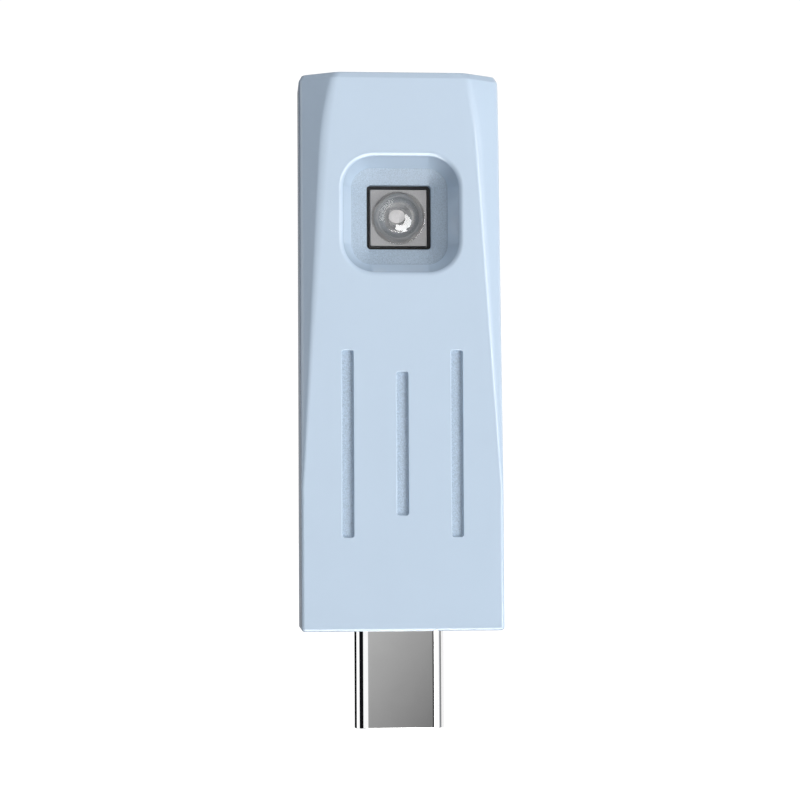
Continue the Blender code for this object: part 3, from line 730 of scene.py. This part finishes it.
def textured_blue_in_painted_shade(name, share):
    """The same plastic where the mould is sparked rough, its colour darkened by a share as painted
    shade in the recess.
    """
    # painted shade: the recess floor's colour is the blue scaled down by share
    colour = tuple(part * share for part in BLUE)
    finish = Finish(name, colour, 0.42)
    finish.tone(finish.noise(0.09, 2.0), *shades(colour, 0.17))
    finish.gloss(finish.noise(0.14, 2.0), 0.22, 0.5)
    finish.relief(finish.noise(0.12, 2.0), 0.03)
    finish.set(IOR=1.5, Specular_IOR_Level=0.15)
    return finish.material


def bright_nickel():
    colour = (0.86, 0.86, 0.86)
    finish = Finish("bright_nickel", colour, 0.05, 1.0)
    finish.tone(finish.noise(1.5, 3.0), *shades(colour, 0.012))
    finish.gloss(finish.noise(0.6, 3.0, (1.0, 1.0, 0.15)), 0.03, 0.07)
    return finish.material


def plain_metal(name, colour, roughness, grain, stretch, depth):
    finish = Finish(name, colour, roughness, 1.0)
    finish.tone(finish.noise(grain * 3, 3.0, stretch), *shades(colour, 0.06))
    finish.gloss(finish.noise(grain, 3.0, stretch), roughness * 0.7, roughness * 1.4)
    finish.relief(finish.noise(grain, 2.0, stretch), depth)
    return finish.material


def moulded(name, colour, roughness, grain, depth, spread=0.06):
    finish = Finish(name, colour, roughness)
    finish.tone(finish.noise(grain * 4, 3.0), *shades(colour, spread))
    finish.gloss(finish.noise(grain * 2, 2.0), roughness * 0.8, roughness * 1.2)
    finish.relief(finish.noise(grain, 2.0), depth)
    return finish.material


def led_ceramic():
    colour = (0.318, 0.31, 0.308)
    finish = Finish("led_ceramic", colour, 0.5)
    finish.tone(finish.noise(0.12, 4.0), *shades(colour, 0.09))
    finish.gloss(finish.noise(0.3, 2.0), 0.4, 0.6)
    finish.relief(finish.noise(0.05, 2.0), 0.004)
    return finish.material


def cup_finish_with_painted_glow():
    """The LED's cup: a pale floor and a darker seat with soft rings; the tone, lighter near the
    emitter and darker towards the rim, is partly painted light.
    """
    finish = Finish("led_cup_painted_glow", (0.2, 0.2, 0.2), 0.5)
    centre = finish.tree.nodes.new("ShaderNodeMapping")
    centre.inputs["Location"].default_value = (0.0, 0.0, -WINDOW_HEIGHT * MM)
    finish.tree.links.new(finish.place, centre.inputs["Vector"])
    flat = finish.tree.nodes.new("ShaderNodeVectorMath")
    flat.operation = "MULTIPLY"
    flat.inputs[1].default_value = (1 / SEAT_RADIUS / MM, 0.0, 1 / SEAT_RADIUS / MM)
    finish.tree.links.new(centre.outputs["Vector"], flat.inputs[0])
    reach = finish.tree.nodes.new("ShaderNodeVectorMath")
    reach.operation = "LENGTH"
    finish.tree.links.new(flat.outputs["Vector"], reach.inputs[0])
    # painted light: the ramp sets the cup's tone by distance from the middle, lighter near the
    # emitter
    ramp = finish.tree.nodes.new("ShaderNodeValToRGB")
    stops = ramp.color_ramp.elements
    for ring in CUP_RINGS_AND_PAINTED_GLOW[1:-1]:
        stops.new(ring[0])
    for stop, (place, level) in zip(stops, CUP_RINGS_AND_PAINTED_GLOW):
        stop.position = place
        stop.color = (level, level, level * 1.01, 1.0)
    finish.tree.links.new(reach.outputs["Value"], ramp.inputs["Fac"])
    grain = finish.tree.nodes.new("ShaderNodeMix")
    grain.data_type = "RGBA"
    grain.blend_type = "MULTIPLY"
    grain.inputs["Factor"].default_value = 0.45
    finish.tree.links.new(ramp.outputs["Color"], grain.inputs["A"])
    finish.tree.links.new(finish.spread(finish.noise(0.07, 3.0), 0.5, 1.5), grain.inputs["B"])
    finish.tree.links.new(grain.outputs["Result"], finish.shader.inputs["Base Color"])
    finish.gloss(finish.noise(0.2, 2.0), 0.4, 0.6)
    finish.relief(finish.noise(0.06, 2.0), 0.003)
    return finish.material


def silicone_foot():
    finish = Finish("silicone_foot", (0.97, 0.97, 0.96), 0.1)
    finish.gloss(finish.noise(0.8, 2.0), 0.08, 0.14)
    finish.set(IOR=1.43, Transmission_Weight=1.0)
    return finish.material


def clear_silicone():
    finish = Finish("clear_silicone", (0.97, 0.97, 0.96), 0.02)
    finish.gloss(finish.noise(0.8, 2.0), 0.005, 0.03)
    finish.set(IOR=1.43, Transmission_Weight=1.0, Coat_Weight=1.0, Coat_IOR=1.72, Coat_Roughness=0.02)
    return finish.material


def circuit_green():
    colour = (0.015, 0.14, 0.06)
    finish = Finish("green_solder_mask", colour, 0.35)
    finish.tone(finish.noise(1.1, 5.0), (0.01, 0.10, 0.045), (0.03, 0.2, 0.09), (0.42, 0.58))
    finish.gloss(finish.noise(0.5, 2.0), 0.25, 0.42)
    finish.relief(finish.noise(0.4, 3.0), 0.01)
    return finish.material


def paint_cad_nodes(finishes):
    """Give every CAD node that stays in view its own finish."""
    for node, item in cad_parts.items():
        for start, finish in finishes.items():
            if node.startswith(start):
                for place in item.material_slots:
                    place.material = finish


# ---------------------------------------------------------------- studio


def direction(azimuth, elevation=0.0):
    """A unit vector; azimuth 0 looks back at the viewer along -Y, and 90 along +X."""
    a = math.radians(azimuth)
    e = math.radians(elevation)
    return Vector((math.sin(a) * math.cos(e), -math.cos(a) * math.cos(e), math.sin(e)))


STUDIO_CENTRE = Vector((0.0, 0.0, 0.026))
ROOM_TINT = (0.94, 0.98, 1.06, 1.0)
ROOM_LIGHT = 0.405
FLOOR_GAP = 0.00005
CAMERA_PLACE = (-0.02038, -0.23148, 0.00923)
CAMERA_TURN = (5.083, 2.933, -0.313)  # yaw, pitch and roll in degrees
CAMERA_LENS = 113.17


def plain_stage_surface(name, colour, glow=0.0):
    material = bpy.data.materials.new(name)
    material.use_nodes = True
    shader = material.node_tree.nodes["Principled BSDF"]
    shader.inputs["Base Color"].default_value = (*colour, 1.0)
    shader.inputs["Roughness"].default_value = 0.9
    shader.inputs["Specular IOR Level"].default_value = 0.0
    shader.inputs["Emission Color"].default_value = (1.0, 1.0, 1.0, 1.0)
    shader.inputs["Emission Strength"].default_value = glow
    return material


def graded_surface(name, start, across, upward, limits):
    """A glowing board whose light falls off sideways and downwards, in steps per metre."""
    material = plain_stage_surface(name, (0.0, 0.0, 0.0))
    tree = material.node_tree
    place = tree.nodes.new("ShaderNodeTexCoord")
    slope = tree.nodes.new("ShaderNodeVectorMath")
    slope.operation = "DOT_PRODUCT"
    slope.inputs[1].default_value = (across, 0.0, upward)
    tree.links.new(place.outputs["Object"], slope.inputs[0])
    level = tree.nodes.new("ShaderNodeMath")
    level.operation = "ADD"
    level.inputs[1].default_value = start
    tree.links.new(slope.outputs["Value"], level.inputs[0])
    held = tree.nodes.new("ShaderNodeClamp")
    held.inputs["Min"].default_value = limits[0]
    held.inputs["Max"].default_value = limits[1]
    tree.links.new(level.outputs["Value"], held.inputs["Value"])
    shader = tree.nodes["Principled BSDF"]
    tree.links.new(held.outputs["Result"], shader.inputs["Emission Strength"])
    return material


def stage_object(name, shape, material):
    """Hand a form that is already in metres over as an object in the scene."""
    mesh = bpy.data.meshes.new(name)
    shape.to_mesh(mesh)
    shape.free()
    item = bpy.data.objects.new(name, mesh)
    bpy.context.scene.collection.objects.link(item)
    mesh.materials.append(material)
    return item


def stage_board(name, shape, material):
    """A board that the lens doesn't see, only the object's reflections do."""
    item = stage_object(name, shape, material)
    item.visible_camera = False
    return item


def card(name, azimuths, heights, distance, material):
    """An upright board round the object, between two azimuths and two heights."""
    shape = bmesh.new()
    middle = sum(azimuths) / 2
    half_turn = (azimuths[1] - azimuths[0]) / 2
    half_width = distance * math.tan(math.radians(half_turn))
    half_height = (heights[1] - heights[0]) / 2
    bmesh.ops.create_grid(shape, x_segments=8, y_segments=2, size=1.0)
    bmesh.ops.scale(shape, vec=(half_width, half_height, 1.0), verts=shape.verts)
    out = direction(middle)
    across = Vector((out.y, -out.x, 0.0))
    turn = Matrix((across, Vector((0, 0, 1)), across.cross(Vector((0, 0, 1))))).transposed().to_4x4()
    centre = out * distance + Vector((0.0, 0.0, (heights[0] + heights[1]) / 2))
    bmesh.ops.transform(shape, matrix=Matrix.Translation(centre) @ turn, verts=shape.verts)
    return stage_board(name, shape, material)


def board(name, azimuth, elevation, distance, size, material):
    """A flat board that faces the object from any direction."""
    shape = bmesh.new()
    out = direction(azimuth, elevation)
    turn = out.to_track_quat("Z", "Y").to_matrix().to_4x4()
    place = Matrix.Translation(STUDIO_CENTRE + out * distance) @ turn
    bmesh.ops.create_grid(shape, x_segments=2, y_segments=2, size=0.5)
    bmesh.ops.scale(shape, vec=(*size, 1.0), verts=shape.verts)
    bmesh.ops.transform(shape, matrix=place, verts=shape.verts)
    return stage_board(name, shape, material)


def sheen_only(item):
    """Keep a board for reflections, so that it adds no light of its own."""
    item.visible_diffuse = False
    item.visible_transmission = False
    return item


def softbox(name, azimuth, elevation, distance, size, power, colour=(1.0, 1.0, 1.0)):
    lamp = bpy.data.lights.new(name, "AREA")
    lamp.shape = "RECTANGLE"
    lamp.size, lamp.size_y = size
    lamp.energy = power
    lamp.color = colour
    item = bpy.data.objects.new(name, lamp)
    bpy.context.scene.collection.objects.link(item)
    out = direction(azimuth, elevation)
    item.location = STUDIO_CENTRE + out * distance
    item.rotation_mode = "QUATERNION"
    item.rotation_quaternion = out.to_track_quat("Z", "Y")
    item.visible_camera = False
    return item


def studio():
    world = bpy.data.worlds.new("dim_room")
    world.use_nodes = True
    world.node_tree.nodes["Background"].inputs["Color"].default_value = ROOM_TINT
    world.node_tree.nodes["Background"].inputs["Strength"].default_value = ROOM_LIGHT
    bpy.context.scene.world = world
    black = plain_stage_surface("black_card", (0.01, 0.01, 0.012))
    grey = plain_stage_surface("grey_card", (0.02, 0.02, 0.02), 0.22)
    white = plain_stage_surface("white_card", (0.02, 0.02, 0.02), 1.1)
    pale = plain_stage_surface("pale_card", (0.02, 0.02, 0.02), 1.0)
    strip = plain_stage_surface("strip_card", (0.02, 0.02, 0.02), 1.4)
    fading = graded_surface("fading_card", 0.813, -5.1, 4.4, (0.1, 1.3))
    glint = plain_stage_surface("glint_card", (0.0, 0.0, 0.0), 8.0)
    underside = plain_stage_surface("underside_card", (0.0, 0.0, 0.0), 9.0)
    card("card_left", (-80.0, -43.0), (-0.4, 0.5), 0.55, black)
    card("card_left_back", (-175.0, -117.0), (-0.4, 0.5), 0.55, black)
    card("card_front_left", (-20.0, 0.0), (-0.35, 0.42), 0.62, white)
    card("card_front", (0.0, 26.0), (-0.35, 0.42), 0.6, fading)
    card("card_right", (84.0, 97.0), (-0.4, 0.4), 0.6, grey)
    sheen_only(card("card_front_far_left", (-42.0, -20.0), (-0.35, 0.42), 0.62, white))
    sheen_only(card("card_strip", (-116.0, -82.0), (-0.4, 0.4), 0.56, strip))
    sheen_only(card("card_right_back", (97.0, 178.0), (-0.4, 0.5), 0.62, pale))
    sheen_only(card("card_key", (25.0, 74.0), (-0.4, 0.4), 0.64, white))
    sheen_only(board("glint_low", 14.0, -44.0, 0.5, (0.42, 0.22), glint))
    sheen_only(board("underside", 0.0, -76.0, 0.32, (0.5, 0.17), underside))
    softbox("softbox_right", 38.5, -12.0, 0.62, (0.42, 0.6), 4.65)
    softbox("softbox_top", -8.0, 60.0, 0.62, (0.6, 0.35), 0.4)
    floor_shape = bmesh.new()
    lowest = SHELL_LOW.z * MM
    bmesh.ops.create_circle(floor_shape, cap_ends=True, segments=96, radius=3.0)
    bmesh.ops.translate(floor_shape, vec=(0.0, 0.0, lowest - FLOOR_GAP), verts=floor_shape.verts)
    seen_only("floor", floor_shape, plain_stage_surface("white_floor", (0.3, 0.3, 0.3), 1.0))
    dome = bmesh.new()
    bmesh.ops.create_icosphere(dome, subdivisions=4, radius=3.5)
    seen_only("backdrop", dome, plain_stage_surface("white_backdrop", (0.0, 0.0, 0.0), 1.05))


def seen_only(name, shape, material):
    """A white surface behind the object that the lens sees and the light passes through."""
    item = stage_object(name, shape, material)
    item.visible_diffuse = False
    item.visible_glossy = False
    item.visible_transmission = False
    item.visible_shadow = False


def aim_camera():
    yaw, pitch, roll = (math.radians(value) for value in CAMERA_TURN)
    forward = Vector(
        (math.sin(yaw) * math.cos(pitch), math.cos(yaw) * math.cos(pitch), math.sin(pitch))
    )
    level = Vector((math.cos(yaw), -math.sin(yaw), 0.0))
    upright = level.cross(forward)
    right = level * math.cos(roll) + upright * math.sin(roll)
    up = upright * math.cos(roll) - level * math.sin(roll)
    lens = bpy.data.cameras.new("camera")
    lens.lens = CAMERA_LENS
    lens.sensor_width = 36.0
    camera = bpy.data.objects.new("camera", lens)
    bpy.context.scene.collection.objects.link(camera)
    turn = Matrix((right, up, -forward)).transposed().to_4x4()
    camera.matrix_world = Matrix.Translation(CAMERA_PLACE) @ turn
    bpy.context.scene.camera = camera


def build():
    gloss = glossy_blue()
    # painted shade: the well floor and the groove floors take the blue at 0.7 and 0.79 of its colour
    shaded_window_floor = textured_blue_in_painted_shade("well_floor_blue_in_painted_shade", 0.7)
    shaded_groove_floor = textured_blue_in_painted_shade("groove_floor_blue_in_painted_shade", 0.79)
    nickel = bright_nickel()
    ceramic = led_ceramic()
    cup_with_painted_glow = cup_finish_with_painted_glow()
    phosphor = moulded("emitter_layer", (0.66, 0.64, 0.645), 0.4, 0.05, 0.002)
    black = moulded("black_moulding", (0.015, 0.015, 0.017), 0.5, 0.08, 0.004, 0.15)
    # the light gasket's black is partly its own colour and partly a dark part standing in for painted
    # shade in the gap round the LED
    gasket_rubber_and_shade = moulded("black_silicone_gasket_shade", (0.012, 0.012, 0.013), 0.7, 0.06, 0.004, 0.15)
    gold = plain_metal("gold_plate", (0.87, 0.62, 0.27), 0.22, 0.12, (1, 1, 0.3), 0.001)
    steel = plain_metal("spring_steel", (0.62, 0.61, 0.6), 0.26, 0.1, (1, 1, 0.2), 0.001)
    plate = plain_metal("rolled_aluminium", (0.8, 0.81, 0.82), 0.34, 0.25, (0.15, 1, 1), 0.003)
    white = moulded("white_solder_mask", (0.8, 0.8, 0.78), 0.38, 0.2, 0.002, 0.02)
    pad = moulded("thermal_pad_grey", (0.3, 0.31, 0.33), 0.85, 0.15, 0.012, 0.12)
    epoxy = moulded("chip_epoxy", (0.02, 0.02, 0.021), 0.55, 0.08, 0.006, 0.2)
    ferrite = moulded("grey_ferrite", (0.09, 0.09, 0.095), 0.65, 0.2, 0.012, 0.2)
    tan = moulded("capacitor_ceramic", (0.5, 0.36, 0.22), 0.45, 0.15, 0.003, 0.08)
    glaze = moulded("resistor_glaze", (0.03, 0.03, 0.035), 0.3, 0.12, 0.002, 0.2)
    red = moulded("red_sleeve", (0.55, 0.02, 0.02), 0.42, 0.15, 0.002, 0.06)
    dark = moulded("black_sleeve", (0.02, 0.02, 0.02), 0.42, 0.15, 0.002, 0.15)
    make_housing((gloss, shaded_window_floor, shaded_groove_floor))
    make_back_cover(gloss)
    make_led(ceramic, cup_with_painted_glow, phosphor, (clear_silicone(), silicone_foot()))
    make_plug_shell(nickel)
    paint_cad_nodes(
        {
            # painted shade: the black gasket darkens the gap round the LED
            "light_gasket": gasket_rubber_and_shade,
            "led_board": white,
            "thermal_pad": pad,
            "heat_spreader": plate,
            "board_screw": steel,
            "main_board": circuit_green(),
            "driver_chip": epoxy,
            "rectifier_diode": epoxy,
            "power_inductor": ferrite,
            "input_capacitor": tan,
            "output_capacitor": tan,
            "current_sense_resistor": glaze,
            "cc_resistor": glaze,
            "lead_wire_plus": red,
            "lead_wire_minus": dark,
            "plug_insulator": black,
            "plug_rear_block": black,
            "ground_plate": steel,
            "contact_": gold,
            "latch_": steel,
        }
    )


build()
studio()
aim_camera()
bpy.context.scene.view_settings.view_transform = "Standard"
